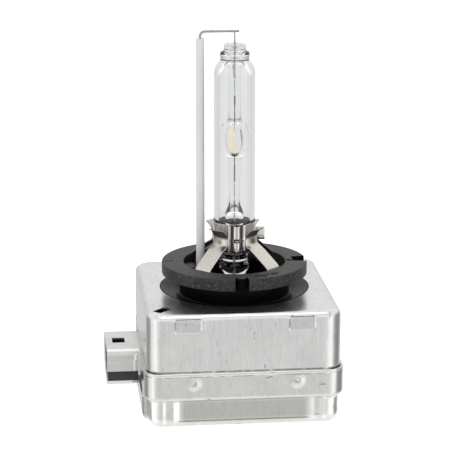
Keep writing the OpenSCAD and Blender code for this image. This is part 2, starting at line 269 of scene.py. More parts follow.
def salt_material():
    """Dried yellow salts; a painted glow of emission carries their colour through the glass."""
    m, nt = material("salts_dried", Emission_Color=(1.0, 0.93, 0.76), Emission_Strength=0.3)
    fine = noise_tex(nt, 2600, 5, 0.7)
    dress(m, Base_Color=ramp(fine, (0.3, (0.95, 0.84, 0.56)), (0.7, (1.0, 0.95, 0.78))),
          Roughness=fine * 0.3 + 0.3)
    bump(m, fine, 0.6, 0.0001)
    return m


def film_material():
    """Thin cream film of salts, patchy, fading out at its edges, with a painted glow of emission.
    """
    m, nt = material("salts_film", Specular_IOR_Level=0.1, Emission_Color=(1.0, 0.93, 0.80),
                     Emission_Strength=0.24)
    cloud = noise_tex(nt, (900, 900, 200), 4, 0.6, 0.5)
    thick = ramp(cloud, (0.30, 0.95), (0.70, 0.50))
    dress(m, Base_Color=ramp(cloud, (0.32, (0.97, 0.86, 0.60)), (0.66, (1.0, 0.97, 0.88))),
          Alpha=point_mask(m, "fade", 0.0, 0.9, 0.3) * thick, Roughness=cloud * 0.3 + 0.45)
    bump(m, cloud, 0.3, 0.00004)
    return m


# each entry: name, dark and light tone, roughness, grain, then the maker's own options
METALS = {
    "shell": ("shell_upper_brushed", (0.62, 0.62, 0.615), (0.785, 0.785, 0.775), 0.21,
              (3800, 3800, 520), 0.20, 0.10, (1300, 1300, 280)),
    "tray": ("shell_lower_brushed", (0.60, 0.60, 0.58), (0.76, 0.76, 0.735), 0.17,
             (2900, 2900, 700), 0.20, 0.12, (280, 280, 1300)),
    "plug_metal": ("plug_sheet", (0.57, 0.565, 0.56), (0.72, 0.715, 0.70), 0.30,
                   (300, 2400, 2400), 0.25, 0.12, (300, 1500, 1500)),
    "collar": ("collar_sheet", (0.60, 0.58, 0.545), (0.74, 0.72, 0.68), 0.15,
               (1900, 1900, 90), 0.15, 0.08),
    "strap": ("strap_sheet", (0.52, 0.50, 0.465), (0.64, 0.617, 0.575), 0.23,
              (2600, 2600, 900), 0.12, 0.10),
    "wire": ("wire_drawn", (0.33, 0.31, 0.275), (0.46, 0.44, 0.395), 0.32,
             (2600, 2600, 300), 0.2, 0.10),
    "lead": ("lead_drawn", (0.38, 0.38, 0.39), (0.58, 0.58, 0.58), 0.3,
             (2600, 2600, 300), 0.2, 0.10),
    "tungsten": ("tungsten_rod", (0.20, 0.20, 0.21), (0.34, 0.34, 0.35), 0.4,
                 (3000, 3000, 400), 0.2, 0.10),
    "foil": ("foil_rolled", (0.34, 0.35, 0.38), (0.50, 0.52, 0.55), 0.35,
             (800, 800, 2500), 0.3, 0.14),
    "brass": ("brass_stamped", (0.62, 0.46, 0.20), (0.80, 0.62, 0.31), 0.3,
              (1600, 1600, 300), 0.2, 0.12),
    "pin": ("pin_tinned", (0.60, 0.58, 0.52), (0.75, 0.73, 0.68), 0.28,
            (300, 2000, 2000), 0.2, 0.10),
    "copper": ("copper_enamelled", (0.42, 0.17, 0.07), (0.64, 0.30, 0.14), 0.3,
               (300, 9000, 300), 0.6, 0.12),
    "strip": ("copper_strip", (0.55, 0.27, 0.13), (0.74, 0.42, 0.23), 0.32,
              (600, 2600, 600), 0.3, 0.12),
    "cap_metal": ("nickel_plate", (0.50, 0.50, 0.51), (0.68, 0.68, 0.69), 0.25,
                  (1200, 1200, 1200), 0.15, 0.10),
}
PLASTICS = {
    "ring": ("ring_glass_filled", (0.004, 0.004, 0.004), (0.034, 0.033, 0.032), 0.47,
             3600, 0.75, 0.50, 0.26, 0.36),
    "socket": ("socket_black", (0.0015, 0.0015, 0.0015), (0.004, 0.004, 0.0043), 0.30,
               2600, 0.10, 0.0, 0.10, 0.08),
    "insert": ("insert_black", (0.012, 0.013, 0.015), (0.03, 0.031, 0.034), 0.42,
               2600, 0.25, 0.1, 0.12),
    "carrier": ("carrier_moulded", (0.03, 0.034, 0.03), (0.06, 0.065, 0.06), 0.5,
                2400, 0.3, 0.1, 0.12),
    "bobbin": ("bobbin_moulded", (0.60, 0.55, 0.44), (0.75, 0.71, 0.60), 0.45,
               2000, 0.2, 0.0, 0.12),
    "ferrite": ("ferrite_sintered", (0.035, 0.035, 0.037), (0.07, 0.07, 0.072), 0.55,
                2800, 0.5, 0.0, 0.2),
    "capacitor": ("capacitor_dipped", (0.30, 0.05, 0.03), (0.46, 0.10, 0.06), 0.25,
                  900, 0.15, 0.0, 0.1),
    "resistor": ("resistor_lacquer", (0.52, 0.42, 0.26), (0.70, 0.60, 0.42), 0.3,
                 1800, 0.2, 0.0, 0.1),
    "residue": ("salts_residue", (0.10, 0.09, 0.07), (0.22, 0.20, 0.16), 0.5,
                1500, 0.2, 0.0, 0.2, 0.3),
}
MAT = {key: metal(*values) for key, values in METALS.items()}
MAT |= {key: moulded(*values) for key, values in PLASTICS.items()}
MAT |= {"quartz": quartz("quartz_clear"), "quartz_in": quartz("quartz_burner"),
        "ceramic": sintered("ceramic_unglazed", (0.49, 0.495, 0.50), (0.57, 0.573, 0.572)),
        "gap": sintered("gap_sintered", (0.74, 0.72, 0.68), (0.86, 0.84, 0.80)),
        "salts": salt_material(), "film": film_material()}


def axes(nt, kind):
    """X, Y and Z of a kind of texture coordinate."""
    at = add_node(nt, "SeparateXYZ", {0: add_node(nt, "TexCoord", out=kind)})
    return [Sock(nt, out) for out in at.out.node.outputs]


def place(mat):
    """|x|, |y| and z of a material's object coordinates, in millimetres."""
    x, y, z = axes(mat.node_tree, "Object")
    return abs(x) * 1000.0, abs(y) * 1000.0, z * 1000.0


def between(value, low, high, soft):
    """1 where a socket lies between two values, with soft ends."""
    inside = ((high - low) / 2 + soft / 2 - abs(value - (high + low) / 2)) / soft
    return add_node(value.nt, "Clamp", {0: inside})


WELD_XY, WELD_Z = 3.68, 5.15


def weld_mask(mat):
    """Brown heat mark round the weld on each strap's pad."""
    x, y, z = (value - centre for value, centre in zip(place(mat), (WELD_XY, WELD_XY, WELD_Z)))
    away = x * x + y * y + z * z
    return ramp(away.calc("SQRT", away) + grit(mat, 0.3), (0.25, 1.0), (0.5, 0.55), (1.0, 0.0))


def panel_painted_shade(mat):
    """Recessed panels at the tray's front and rear: a greener tint, darkened as painted shade."""
    x, _, z = place(mat)
    mask = between(x, -20, 13.2, 0.7) * between(z, -29.9, -25.3, 0.6)
    cell = noise_tex(mat.node_tree, (3000, 3000, 900), 4, 0.6)
    tinted(mat, mask * (cell * 0.9 + 0.4), (0.51, 0.515, 0.48), 1.0)


def seam_and_shadow_line(mat, low, high, colour, amount, broken):
    """A thin line round a shell between two heights, broken up by noise."""
    _, _, z = place(mat)
    gaps = ramp(noise_tex(mat.node_tree, 500, 3), (broken, 0.0), (broken + 0.2, 1.0))
    tinted(mat, between(z, low, high, 0.12) * gaps, colour, amount)


def mottled_windows(mat, cx, half, low, high):
    """Darker, blotchy sheet inside the pressed windows at the front and rear."""
    x, y, z = place(mat)
    mask = (between(x, cx - half, cx + half, 0.2) * between(z, low, high, 0.3)
            * between(y, 20.0, 30.0, 0.2))
    blot = ramp(noise_tex(mat.node_tree, 2300, 4, 0.65), (0.30, 1.0), (0.70, 0.15))
    tinted(mat, mask * blot, (0.50, 0.51, 0.53), 0.75)


# painted shade on the insert's top strip under the shroud: near black, with less shine
insert_shade = point_mask(MAT["insert"], "soot", 0.1, 0.9)
tinted(MAT["insert"], insert_shade, (0.0015, 0.0015, 0.0015), 0.95)
dulled(MAT["insert"], insert_shade, 0.4)
# painted shade inside the keyways: near black, with less shine
keys = point_mask(MAT["ring"], "soot", 0.2, 1.0)
tinted(MAT["ring"], keys, (0.002, 0.002, 0.002), 0.9)
dulled(MAT["ring"], keys, 0.26)
# painted shade in the collar's creases, at its sides and at its foot: dark, dull metal
creases = point_mask(MAT["collar"], "soot", 0.0, 0.9, 0.12)
tinted(MAT["collar"], creases, (0.010, 0.008, 0.006), 0.985)
dull_shaded(MAT["collar"], creases)
tinted(MAT["strap"], weld_mask(MAT["strap"]), (0.25, 0.15, 0.085), 0.9)
# painted shade on the straps' flares: dark, dull metal
soot = point_mask(MAT["strap"], "soot", 0.02, 0.8, 0.3)
tinted(MAT["strap"], soot, (0.014, 0.011, 0.009), 0.985)
dull_shaded(MAT["strap"], soot)
panel_painted_shade(MAT["tray"])


# -------- mesh tools
def finish_mesh(bm, me, limit):
    """Smooth faces, sharp where two meet at more than limit degrees."""
    for f in bm.faces:
        f.smooth = True
    for e in bm.edges:
        if len(e.link_faces) == 2 and e.calc_face_angle(0) > radians(limit):
            e.smooth = False
    bm.to_mesh(me)
    bm.free()


def add_piece(me, mat, replaces):
    me.materials.append(MAT[mat])
    ob = put(me.name, me)
    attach(ob, "root")
    if replaces:
        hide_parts(*replaces)
    return ob


def piece(name, verts, faces, mat, replaces=(), sharp=32, weld=True, edit=None):
    """A piece from points in millimetres."""
    me = bpy.data.meshes.new(name)
    me.from_pydata([Vector(v) * MM for v in verts], [], faces)
    bm = bmesh.new()
    bm.from_mesh(me)
    if weld:
        bmesh.ops.remove_doubles(bm, verts=bm.verts, dist=1e-7)
    bmesh.ops.dissolve_degenerate(bm, edges=bm.edges, dist=1e-8)
    bmesh.ops.recalc_face_normals(bm, faces=bm.faces)
    if edit:
        edit(bm)
    finish_mesh(bm, me, sharp)
    return add_piece(me, mat, replaces)


def rounded_box(name, low, high, r, mat, replaces=()):
    """A bevelled box between two corners."""
    low, high = Vector(low), Vector(high)
    me = bpy.data.meshes.new(name)
    bm = bmesh.new()
    c, d = (low + high) / 2 * MM, (high - low) * MM
    bmesh.ops.create_cube(bm, size=1, matrix=Matrix.Translation(c) @ Matrix.Diagonal((*d, 1)))
    bmesh.ops.bevel(bm, geom=list(bm.edges), offset=r * MM, segments=3, profile=0.5,
                    affect="EDGES")
    finish_mesh(bm, me, 50)
    return add_piece(me, mat, replaces)


def store(ob, name, values):
    """Stores one number on each point of a piece."""
    if len(values) != len(ob.data.vertices):
        raise RuntimeError(f"{name} does not match the points of {ob.name}")
    ob.data.attributes.new(name, "FLOAT", "POINT").data.foreach_set("value", values)


def store_at(ob, name, value):
    """Stores value(x, y, z), with the point in millimetres, on every point of a piece."""
    store(ob, name, [value(*(v.co / MM)) for v in ob.data.vertices])


def grid_faces(rows, cols, wrap_rows=False, wrap_cols=True):
    out = []
    for i in range(rows if wrap_rows else rows - 1):
        for j in range(cols if wrap_cols else cols - 1):
            here, above = i * cols, ((i + 1) % rows) * cols
            right_j = (j + 1) % cols
            out.append((here + j, here + right_j, above + right_j, above + j))
    return out


def shifted(faces, by):
    return [tuple(i + by for i in f) for f in faces]


def lathe(profile, segs=128, closed=True):
    """Revolves (r, z) points about Z."""
    verts = []
    for r, z in profile:
        for k in range(segs):
            t = 2 * pi * k / segs
            verts.append((r * cos(t), r * sin(t), z))
    return verts, grid_faces(len(profile), segs, closed)


def rounded(points, radius, steps=5, closed=True):
    """Rounds the corners of a polyline; radius is a number or a dict by index."""
    out = []
    n = len(points)
    for i, p in enumerate(points):
        r = radius.get(i, 0) if isinstance(radius, dict) else radius
        if r <= 0 or (not closed and i in (0, n - 1)):
            out.append(tuple(p))
            continue
        a, b, c = Vector(points[i - 1]), Vector(p), Vector(points[(i + 1) % n])
        u, v = (a - b), (c - b)
        reach = min(r, u.length * 0.45, v.length * 0.45)
        u, v = u.normalized() * reach, v.normalized() * reach
        for k in range(steps + 1):
            t = k / steps
            out.append(tuple((b + u) * (1 - t) ** 2 + b * 2 * t * (1 - t) + (b + v) * t ** 2))
    return out


def turned(points, radius, steps, segs, closed=True):
    """A profile with rounded corners, revolved about Z."""
    return lathe(rounded(points, radius, steps, closed), segs, closed)


def ease(a, b, x):
    """0 at a and before, 1 at b and past it, smooth between; a may be above b."""
    t = max(0.0, min(1.0, (x - a) / (b - a)))
    return t * t * (3 - 2 * t)


def bell(x, width, power=2):
    return exp(-(x / width) ** power)


def turned_by(deg, centre):
    """Angle from centre, both in degrees, from 0 to 180."""
    return abs((deg - centre + 180) % 360 - 180)


def rect_loop(hx, hy, rc, nx, ny, nc):
    """Points and outward normals round a rounded rectangle, from the +X +Y corner on."""
    out = []
    rc = max(rc, 0.02)
    corners = ((1, 1, 0), (-1, 1, 90), (-1, -1, 180), (1, -1, 270))
    for k, (sx, sy, a0) in enumerate(corners):
        cx, cy = sx * (hx - rc), sy * (hy - rc)
        for j in range(nc):
            a = radians(a0 + 90 * j / nc)
            out.append((cx + rc * cos(a), cy + rc * sin(a), cos(a), sin(a)))
        a = radians(a0 + 90)
        p = (cx + rc * cos(a), cy + rc * sin(a))
        sx2, sy2 = corners[(k + 1) % 4][:2]
        q = (sx2 * (hx - rc) + rc * cos(a), sy2 * (hy - rc) + rc * sin(a))
        n = (nx, ny)[k % 2]
        for j in range(n):
            t = j / n
            out.append((p[0] + (q[0] - p[0]) * t, p[1] + (q[1] - p[1]) * t, cos(a), sin(a)))
    return out


def wall_rows(rows, hx, hy, corner, counts, dent):
    """Points of (inset, z, push) rows round a rounded rectangle; push scales the dents."""
    verts = []
    for inset, z, push in rows:
        for x, y, ax, ay in rect_loop(hx - inset, hy - inset, corner - inset, *counts):
            d = dent(x, y, z, ax, ay) * push
            verts.append((x + ax * d, y + ay * d, z))
    return verts


def carve(ob, bm, limit):
    """Cuts the closed shapes in bm out of a piece."""
    me = bpy.data.meshes.new("cutter")
    bm.to_mesh(me)
    bm.free()
    tool = put("cutter", me)
    mod = ob.modifiers.new("cut", "BOOLEAN")
    mod.operation, mod.object, mod.solver = "DIFFERENCE", tool, "EXACT"
    bpy.context.view_layer.update()
    dg = bpy.context.evaluated_depsgraph_get()
    old, new = ob.data, bpy.data.meshes.new_from_object(ob.evaluated_get(dg))
    ob.modifiers.remove(mod)
    ob.data = new
    bpy.data.meshes.remove(old)
    bpy.data.objects.remove(tool)
    bm = bmesh.new()
    bm.from_mesh(new)
    finish_mesh(bm, new, limit)


def cut(ob, *boxes):
    """Cuts boxes, given as (centre, size, turn about Z in degrees), out of a piece."""
    bm = bmesh.new()
    for centre, dims, turn in boxes:
        m = (Matrix.Translation(Vector(centre) * MM) @ Matrix.Rotation(radians(turn), 4, "Z")
             @ Matrix.Diagonal((*(Vector(dims) * MM), 1)))
        bmesh.ops.create_cube(bm, size=1, matrix=m)
    carve(ob, bm, 32)


def cut_round(ob, centre, radius, z0, z1):
    """Cuts an upright round hole between two heights out of a piece."""
    bm = bmesh.new()
    at = Matrix.Translation(Vector((*centre, (z0 + z1) / 2)) * MM)
    bmesh.ops.create_cone(bm, cap_ends=True, segments=64, radius1=radius * MM,
                          radius2=radius * MM, depth=(z1 - z0) * MM, matrix=at)
    carve(ob, bm, 50)


def wave(x, y, z, scale, amount):
    return amount * noise.noise(Vector((x, y, z)) * scale)


# -------- upper shell
SHELL_HX, SHELL_HY, SHELL_TOP = size("top_shell")[1]
CORNER, SHEET, HOLE_R = 4.0, 0.55, 16.48
WINDOW_X, WINDOW_HALF, WINDOW_LOW, WINDOW_HIGH = 12.1, 2.85, -9.75, -6.62
SHELL_COUNTS, TRAY_COUNTS = (110, 116, 14), (150, 90, 14)


def wall_dent(x, y, z, nx, ny):
    """Pressed features and slight unevenness of the upper shell's walls."""
    d = wave(x, y, z, 0.11, 0.05) + wave(x, y, z, 0.35, 0.012)
    if abs(ny) > 0.99:
        for cx in (-WINDOW_X, WINDOW_X):
            side = ease(WINDOW_HALF + 0.12, WINDOW_HALF - 0.12, abs(x - cx))
            rise = ease(WINDOW_LOW - 0.1, WINDOW_LOW + 0.6, z) * 0.12
            rise += ease(WINDOW_LOW - 0.4, WINDOW_HIGH, z) * 0.20
            d -= side * rise * ease(WINDOW_HIGH + 0.16, WINDOW_HIGH - 0.02, z)
            if side < 0.5:
                # soft swelling round the pressed corner
                d += 0.06 * bell(hypot(max(abs(x - cx) - WINDOW_HALF, 0),
                                       max(WINDOW_LOW - z, 0, z - WINDOW_HIGH)), 0.5)
    return d


def quarter(radius, steps, first=1):
    """Angle, inset and rise of the points along a quarter round."""
    for k in range(first, steps + 1):
        a = radians(90 * k / steps)
        yield k, radius * (1 - cos(a)), radius * sin(a)


def make_top_shell():
    shape = (SHELL_HX, SHELL_HY, CORNER, SHELL_COUNTS, wall_dent)
    levels = [z for z in (-21 + 0.35 * k for k in range(32)) if z < -10.2]
    levels += [z for z in (-10.1 + 0.13 * k for k in range(25)) if z < SHELL_TOP - 1.46]
    outer = [(0, z, 1) for z in levels]
    edge = 1.45
    outer += [(inset, SHELL_TOP - edge + rise, max(0, 1 - k / 5))
              for k, inset, rise in quarter(edge, 12)]
    verts = wall_rows(outer, *shape)
    cols = len(verts) // len(outer)
    rim = verts[-cols:]
    under = SHELL_TOP - SHEET
    top = [(t, SHELL_TOP) for t in (0.2, 0.4, 0.6, 0.8, 0.93)]
    top += [(0.99, SHELL_TOP - 0.02), (1.0, SHELL_TOP - 0.12), (1.0, SHELL_TOP - 0.48)]
    top += [(t, under) for t in (0.97, 0.5, 0.05)]
    for t, z in top:
        for x, y, _ in rim:
            a = atan2(y, x)
            lift = wave(x, y, t * 9, 0.12, 0.03) if 0 < t < 1 else 0
            verts.append((x + (HOLE_R * cos(a) - x) * t, y + (HOLE_R * sin(a) - y) * t, z + lift))
    inner = [(SHEET + 0.35, under - 0.12, 0), (SHEET + 0.05, under - 0.5, 0)]
    verts += wall_rows(inner + [(SHEET, z, 1) for z in reversed(levels)], *shape)
    ob = piece("shell_top", verts, grid_faces(len(verts) // cols, cols, True), "shell",
               ("top_shell",), 40)
    slits = [((sx * WINDOW_X, sy * (SHELL_HY - 0.3), WINDOW_HIGH + 0.03), (5.3, 1.6, 0.13), 0)
             for sy in (-1, 1) for sx in (-1, 1)]
    # corner slot, port, the connector's opening and the windows' slits
    cut(ob, ((-17.25, -17.3, SHELL_TOP), (3.7, 2.2, 3), 45),
        ((-SHELL_HX, 17.6, -18.6), (3, 3.0, 2.8), 0),
        ((-SHELL_HX, 5.5, -21.1), (3, 15.3, 3.8), 0), *slits)


make_top_shell()
rounded_box("port_block", (-20.75, 15.9, -20.4), (-19.9, 19.5, -17.3), 0.15, "socket")
mottled_windows(MAT["shell"], WINDOW_X, WINDOW_HALF - 0.1, WINDOW_LOW + 0.3, WINDOW_HIGH)

# -------- lower shell
TRAY_LOW, TRAY_HIGH = size("bottom_shell")
LIP_HX, LIP_HY, LIP_TOP = TRAY_HIGH
LIP_LOW, BOTTOM = -24.3, TRAY_LOW.z
DIMPLE_X, DIMPLE_Z = 11.06, -20.6
STEP, FOOT_R = 1.05, 2.2


def tray_level(x, y, z):
    """The lower shell's own unevenness."""
    return wave(x + 40, y, z, 0.10, 0.04) + wave(x, y, z * 2, 0.3, 0.008)


def tray_dent(x, y, z, nx, ny):
    d = tray_level(x, y, z)
    if z > LIP_TOP - 1.2:
        d -= 0.10 * bell(z - LIP_TOP + 0.62, 0.15)
    if z < LIP_LOW - 0.1 and abs(ny) > 0.05:
        d -= 0.42 * ease(15.2, 19.2, abs(x)) * ny ** 2 * ease(LIP_LOW - 0.3, LIP_LOW - 1.05, z)
        d += wave(x * 1.2, y, z * 1.6, 0.45, 0.05) * ease(14.5, 16.0, abs(x))
    if nx < -0.05 and y > 11 and z > LIP_LOW:
        # the lip thins out behind the connector
        d += 0.52 * ease(11, 13.5, y) * nx
    if nx < -0.5 and z < LIP_LOW + 0.4:
        # the connector's wall comes out flush with the lip
        d += 1.25 * ease(18.3, 16.2, abs(y)) * -nx * ease(LIP_LOW + 0.4, LIP_LOW - 0.6, z)
    if abs(ny) > 0.99:
        if z < LIP_LOW - 0.1:
            inside = 0.34 * ease(17.75, 16.7, abs(x)) + 0.62 * ease(15.5, 13.75, abs(x))
            fall = min(max((LIP_LOW - 1.0 - z) / (LIP_LOW - 1.0 - BOTTOM), 0), 1)
            d -= inside * ease(LIP_LOW - 0.45, LIP_LOW - 1.05, z) * (1.0 - 0.35 * fall ** 2)
        for cx in (-DIMPLE_X, DIMPLE_X):
            # sunk under the separate dimple, which has a finer mesh
            d -= 0.30 * ease(1.5, 1.2, hypot(x - cx, z - DIMPLE_Z))
    return d


def descend(z, end, step):
    out = []
    while z > end:
        out.append(z)
        z -= step
    return out


def make_tray():
    fine = descend(LIP_TOP - 1.0, DIMPLE_Z - 2.0, 0.16)
    coarse = descend(fine[-1] - 0.16, LIP_LOW + 0.55, 0.35)
    outer = [(0.34, LIP_TOP - 0.10), (0.12, LIP_TOP), (0.03, LIP_TOP - 0.08)]
    outer += [(0, LIP_TOP - drop) for drop in (0.25, 0.40, 0.50, 0.62, 0.74, 0.86)]
    outer += [(0, z) for z in fine + coarse]
    outer += [(inset, LIP_LOW + rise) for inset, rise in (
        (0.0, 0.45), (0.08, 0.2), (0.24, -0.02), (0.46, -0.2), (0.70, -0.36), (0.90, -0.55),
        (1.0, -0.75), (STEP, -1.0))]
    outer += [(STEP, z) for z in descend(LIP_LOW - 1.3, BOTTOM + 2.3, 0.3)]
    outer += [(STEP + inset, BOTTOM + FOOT_R - drop) for _, inset, drop in quarter(FOOT_R, 8, 0)]
    floor = (4.5, 8, 12, 16, 19)
    rows = [(inset, z, 1.0 if z > BOTTOM + 0.9 else max(0, (z - BOTTOM) / 0.9))
            for inset, z in outer]
    rows += [(inset, BOTTOM, 0) for inset in floor]
    rows += [(inset, BOTTOM + SHEET, 0) for inset in reversed(floor)]
    rows += [(inset + 0.5, max(z, BOTTOM + SHEET), 1.0 if z > BOTTOM + 1.4 else 0)
             for inset, z in reversed(outer[2:])]
    verts = wall_rows(rows, LIP_HX, LIP_HY, CORNER - 0.15, TRAY_COUNTS, tray_dent)
    ob = piece("shell_tray", verts, grid_faces(len(rows), len(verts) // len(rows), True), "tray",
               ("bottom_shell",), 40)
    cut(ob, ((-LIP_HX - 0.5, 5.5, -23.15), (4, 15.3, 9.6), 0))
    # painted highlight on the corner posts and the panels' flanks
    store_at(ob, "bright", pillar_painted_highlight)
    tinted(MAT["tray"], point_mask(MAT["tray"], "bright", 0.0, 1.0), (0.97, 0.97, 0.95), 0.85)


def pillar_painted_highlight(x, y, z):
    """Painted highlight on the corner posts and the panels' flanks."""
    if z > LIP_LOW - 0.2 or abs(y) < 17.5:
        return 0.0
    flank = 0.65 * bell(abs(x) - 14.5, 0.75, 4)
    edge = bell(abs(x) - 17.2, 0.45)
    post = 0.85 * ease(17.9, 19.0, abs(x))
    return (min(1.0, flank + edge + post) * ease(LIP_LOW - 0.2, LIP_LOW - 0.9, z)
            * ease(BOTTOM + 0.2, BOTTOM + 1.8, z))


def make_dimples():
    """Round staked points on the lip: a low bulge, a raised rim and a crater."""
    profile = [(1.95, -0.10), (1.9, -0.02), (1.7, 0.02), (1.45, 0.07), (1.2, 0.14), (1.0, 0.21),
               (0.86, 0.26), (0.76, 0.27), (0.66, 0.22), (0.56, 0.06), (0.48, -0.10),
               (0.40, -0.17), (0.27, -0.14), (0.15, -0.07), (0.001, -0.05)]
    verts, faces = lathe(profile, 96, False)

    def outwards(bm):
        for f in bm.faces:
            if f.normal.y * side < 0:
                f.normal_flip()

    for k in range(4):
        cx, side = (-DIMPLE_X, DIMPLE_X)[k % 2], (-1, 1)[k // 2]
        out = []
        for x, y, h in verts:
            lump = wave(x * 2 + 9 * k, y * 2, 0, 1.3, 0.10) * ease(1.0, 0.3, hypot(x, y))
            level = tray_level(cx + x, side * LIP_HY, DIMPLE_Z)
            out.append((cx + x, side * (LIP_HY + h + lump + level), DIMPLE_Z + y))
        piece(f"dimple_{k}", out, faces, "tray", (), 50, edit=outwards)


make_tray()
make_dimples()
# dark seam between the shell and the lip
seam_and_shadow_line(MAT["shell"], LIP_TOP + 0.03, LIP_TOP + 0.38, (0.26, 0.20, 0.16), 0.85, 0.32)
# painted shadow in the groove below the lip's top edge
seam_and_shadow_line(MAT["tray"], LIP_TOP - 0.82, LIP_TOP - 0.66, (0.16, 0.16, 0.15), 0.75, 0.40)

# -------- locating ring
RING_LOW, RING_HIGH = size("base_ring")
# the ring's X ends are cut by its keyway, so its radius is read along Y
RING_R, RING_T, HOLE = round(RING_HIGH.y, 2), round(-RING_LOW.z, 2), 11.2


def keyway_shade(x, y, z):
    """Painted shade: 1 inside the keyways' walls, 0 on the worn outer faces."""
    deg = degrees(atan2(y, x))
    reach = hypot(x, y)
    right_key = abs(deg) < 7.9
    front_key = abs(deg + 90) < 5.6 and reach < RING_R - 0.12
    return float((right_key or front_key) and z <= -0.02 and reach >= HOLE + 0.3)


def make_ring():
    """A loop of cross-sections; the keyways change its outer radius."""
    angles = {round(360 * k / 420, 4) for k in range(420)}
    for centre, half in ((-90.0, 5.25), (0.0, 7.35)):
        for side in (-1, 1):
            for off in (-0.45, -0.3, -0.2, -0.1, 0.0, 0.1, 0.2, 0.3, 0.45):
                angles.add(round((centre + side * half + off) % 360, 4))
    verts = []
    for deg in sorted(angles):
        t = radians(deg)
        out = RING_R
        # middle and half width in degrees, radius of the floor, and how far it rises mid-way
        for centre, half, floor, crown in ((270.0, 5.25, 14.1, 0.95), (0.0, 7.6, 12.95, 0.0)):
            off = turned_by(deg, centre)
            out -= ((RING_R - floor - crown * ease(0.85, 0.5, off / half))
                    * ease(half + 0.22, half - 0.22, off))
        edge = 0.22
        points = [(HOLE + 0.16, 0), (HOLE, -0.16), (HOLE, -RING_T + 0.1), (HOLE + 0.1, -RING_T),
                  (out - edge, -RING_T), (out - 0.06, -RING_T + 0.06), (out, -RING_T + edge),
                  (out, -RING_T * 0.66), (out, -RING_T * 0.33), (out, -0.20),
                  (out - 0.05, -0.07), (out - 0.18, 0.0)]
        points += [(out - 0.18 + (HOLE + 0.16 - out + 0.18) * j / 9, 0) for j in range(1, 9)]
        for i, (r, z) in enumerate(points):
            x, y = r * cos(t), r * sin(t)
            e = wave(x, y, z, 0.5, 0.03) + wave(x, y, z, 2.2, 0.02)
            r += e if 6 <= i <= 9 else 0
            verts.append((r * cos(t), r * sin(t), z + (min(e, 0.0) - 0.01 if z == 0 else 0)))
    faces = grid_faces(len(angles), len(verts) // len(angles), True)
    ob = piece("locating_ring", verts, faces, "ring", ("base_ring",), 38)
    cut(ob, ((-14.5, 0.65, 0), (2.2, 0.42, 0.7), 0))
    store_at(ob, "soot", keyway_shade)
    # plain raised bars on the top face
    for k, (deg, r, long, turn) in enumerate(((-74, 13.3, 1.5, 12), (-69, 14.1, 1.1, -20),
                                              (-64, 13.3, 1.3, 20), (-57, 13.7, 1.6, -8))):
        a = radians(deg)
        bar = rounded_box(f"ring_bar_{k}", (-long / 2, -0.17, -0.12), (long / 2, 0.17, 0.19), 0.05,
                          "ring")
        bar.matrix_world = (Matrix.Translation(Vector((r * cos(a), r * sin(a), 0)) * MM)
                            @ Matrix.Rotation(a + radians(90 + turn), 4, "Z"))


make_ring()

# -------- socket
NECK, DISH, FLOOR = 12.1, 16.4, -9.6


def make_socket():
    prof = [(2.72, FLOOR), (12.9, FLOOR), (12.9, -8), (DISH, -8), (DISH, -6.1),
            (DISH - 0.02, -5.86), (DISH - 0.28, -5.84), (15.6, -6.0), (14.2, -6.4), (12.9, -6.9),
            (NECK + 0.15, -7.15), (NECK, -6.9), (NECK, -2.66), (10.25, -2.66), (10.2, -8.15),
            (9.9, -8.3), (4.9, -8.3), (4.6, -8.1), (4.6, -4.6), (4.3, -4.25), (2.72, -4.25)]
    soft = {5: 0.1, 6: 0.1, 9: 0.5, 10: 0.3, 14: 0.3, 18: 0.15, 19: 0.15}
    verts, faces = turned(prof, soft, 3, 192)
    piece("socket_body", verts, faces, "socket", ("turret_housing",), 30)
    # ribs in the well, none behind the wire's pocket
    for k, deg in {0: 20, 1: 60, 2: 120, 5: 240, 6: 300, 7: 340}.items():
        ob = rounded_box(f"well_rib_{k}", (4.5, -0.35, -8.2), (10.25, 0.35, -6.4), 0.1, "socket")
        ob.matrix_world = Matrix.Rotation(radians(deg), 4, "Z")
    # pocket of the return wire, level with the ring's top
    ob = rounded_box("wire_pocket", (-11.0, -2.25, -8.2), (-5.6, 2.25, -0.9), 0.18, "socket")
    cut_round(ob, (-7.5, 0), 0.97, -3.4, 1.0)


make_socket()

# -------- quartz burner
# middle of the thin air pocket left in the top seal
POCKET_R, POCKET_Z = 1.8, 45.61


